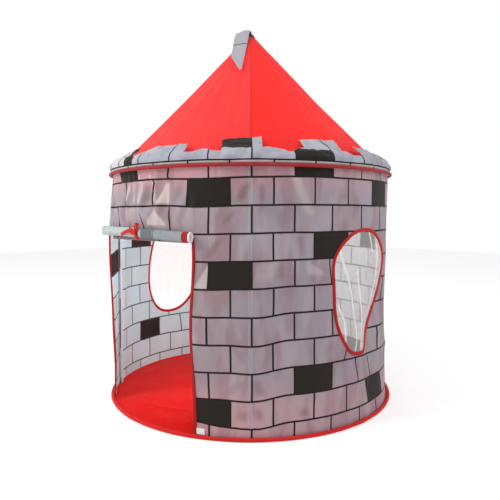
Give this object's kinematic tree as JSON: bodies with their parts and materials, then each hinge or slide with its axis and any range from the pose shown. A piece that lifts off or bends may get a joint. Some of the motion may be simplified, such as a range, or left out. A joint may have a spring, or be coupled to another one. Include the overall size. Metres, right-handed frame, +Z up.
{
  "type": "kids play tent",
  "caption": "Round castle-tower play tent: printed cloth walls on sewn-in hoops, conical roof, open doorway with rolled flap and oval net windows.",
  "frame": {"origin": "on the ground under the middle of the floor", "axes": "+Z up, the doorway faces -Y, the net windows face +X and -X"},
  "size_m": [1.0492, 1.0492, 1.359],
  "materials": {
    "grey_print": "thin woven polyester printed with grey stone blocks and black joints",
    "red_roof": "thin woven polyester, red",
    "red_floor": "coated woven polyester, red",
    "red_tape": "woven binding tape, dark red",
    "white_net": "fine white netting",
    "white_tape": "white hook-and-loop tape",
    "hoop_steel": "spring steel wire",
    "fibreglass": "pultruded glass-fibre rod",
    "moulding": "black moulded plastic",
    "sleeve_cloth": "grey woven polyester",
    "black_cloth": "black woven polyester"
  },
  "bodies": {
    "tent": {"front_wall": "grey_print", "right_wall": "grey_print", "rear_wall": "grey_print", "left_wall": "grey_print", "battlement_band": "grey_print", "door_curtain": "grey_print", "front_roof_gore": "red_roof", "right_roof_gore": "red_roof", "rear_roof_gore": "red_roof", "left_roof_gore": "red_roof", "floor_sheet": "red_floor", "base_hoop_tape": "red_tape", "eave_hoop_tape": "red_tape", "right_window_tape": "red_tape", "left_window_tape": "red_tape", "left_jamb_tape": "red_tape", "right_jamb_tape": "red_tape", "door_head_tape": "red_tape", "right_window_net": "white_net", "left_window_net": "white_net", "left_door_tab": "white_tape", "right_door_tab": "white_tape", "base_hoop_wire": "hoop_steel", "eave_hoop_wire": "hoop_steel", "wall_pole_lower_front_right": "fibreglass", "wall_pole_lower_rear_right": "fibreglass", "wall_pole_lower_rear_left": "fibreglass", "wall_pole_lower_front_left": "fibreglass", "wall_pole_upper_front_right": "fibreglass", "wall_pole_upper_rear_right": "fibreglass", "wall_pole_upper_rear_left": "fibreglass", "wall_pole_upper_front_left": "fibreglass", "roof_pole_lower_front_right": "fibreglass", "roof_pole_lower_rear_right": "fibreglass", "roof_pole_lower_rear_left": "fibreglass", "roof_pole_lower_front_left": "fibreglass", "roof_pole_upper_front_right": "fibreglass", "roof_pole_upper_rear_right": "fibreglass", "roof_pole_upper_rear_left": "fibreglass", "roof_pole_upper_front_left": "fibreglass", "apex_hub": "moulding", "eave_elbow_front_right": "moulding", "eave_elbow_rear_right": "moulding", "eave_elbow_rear_left": "moulding", "eave_elbow_front_left": "moulding", "wall_sleeve_front_right": "sleeve_cloth", "wall_sleeve_rear_right": "sleeve_cloth", "wall_sleeve_rear_left": "sleeve_cloth", "wall_sleeve_front_left": "sleeve_cloth", "roof_sleeve_front_right": "sleeve_cloth", "roof_sleeve_rear_right": "sleeve_cloth", "roof_sleeve_rear_left": "sleeve_cloth", "roof_sleeve_front_left": "sleeve_cloth", "apex_cap": "black_cloth"},
    "door_flap": {"door_roll": "grey_print", "door_roll_hem": "red_tape", "door_roll_strip": "white_tape", "tie_ribbon": "red_tape"},
    "peak_tab": {"peak_tab": "grey_print"}
  },
  "joints": [
    {"name": "door_flap_drop", "type": "slide", "parent": "tent", "child": "door_flap", "axis": [0, 0, -1], "range_m": [0, 0.55], "deforming": ["door_curtain"]},
    {"name": "peak_tab_swing", "type": "hinge", "parent": "tent", "child": "peak_tab", "pos_m": [0, 0, 1.3585], "axis": [-0.7071, -0.7071, 0], "range_deg": [0, 100]}
  ]
}
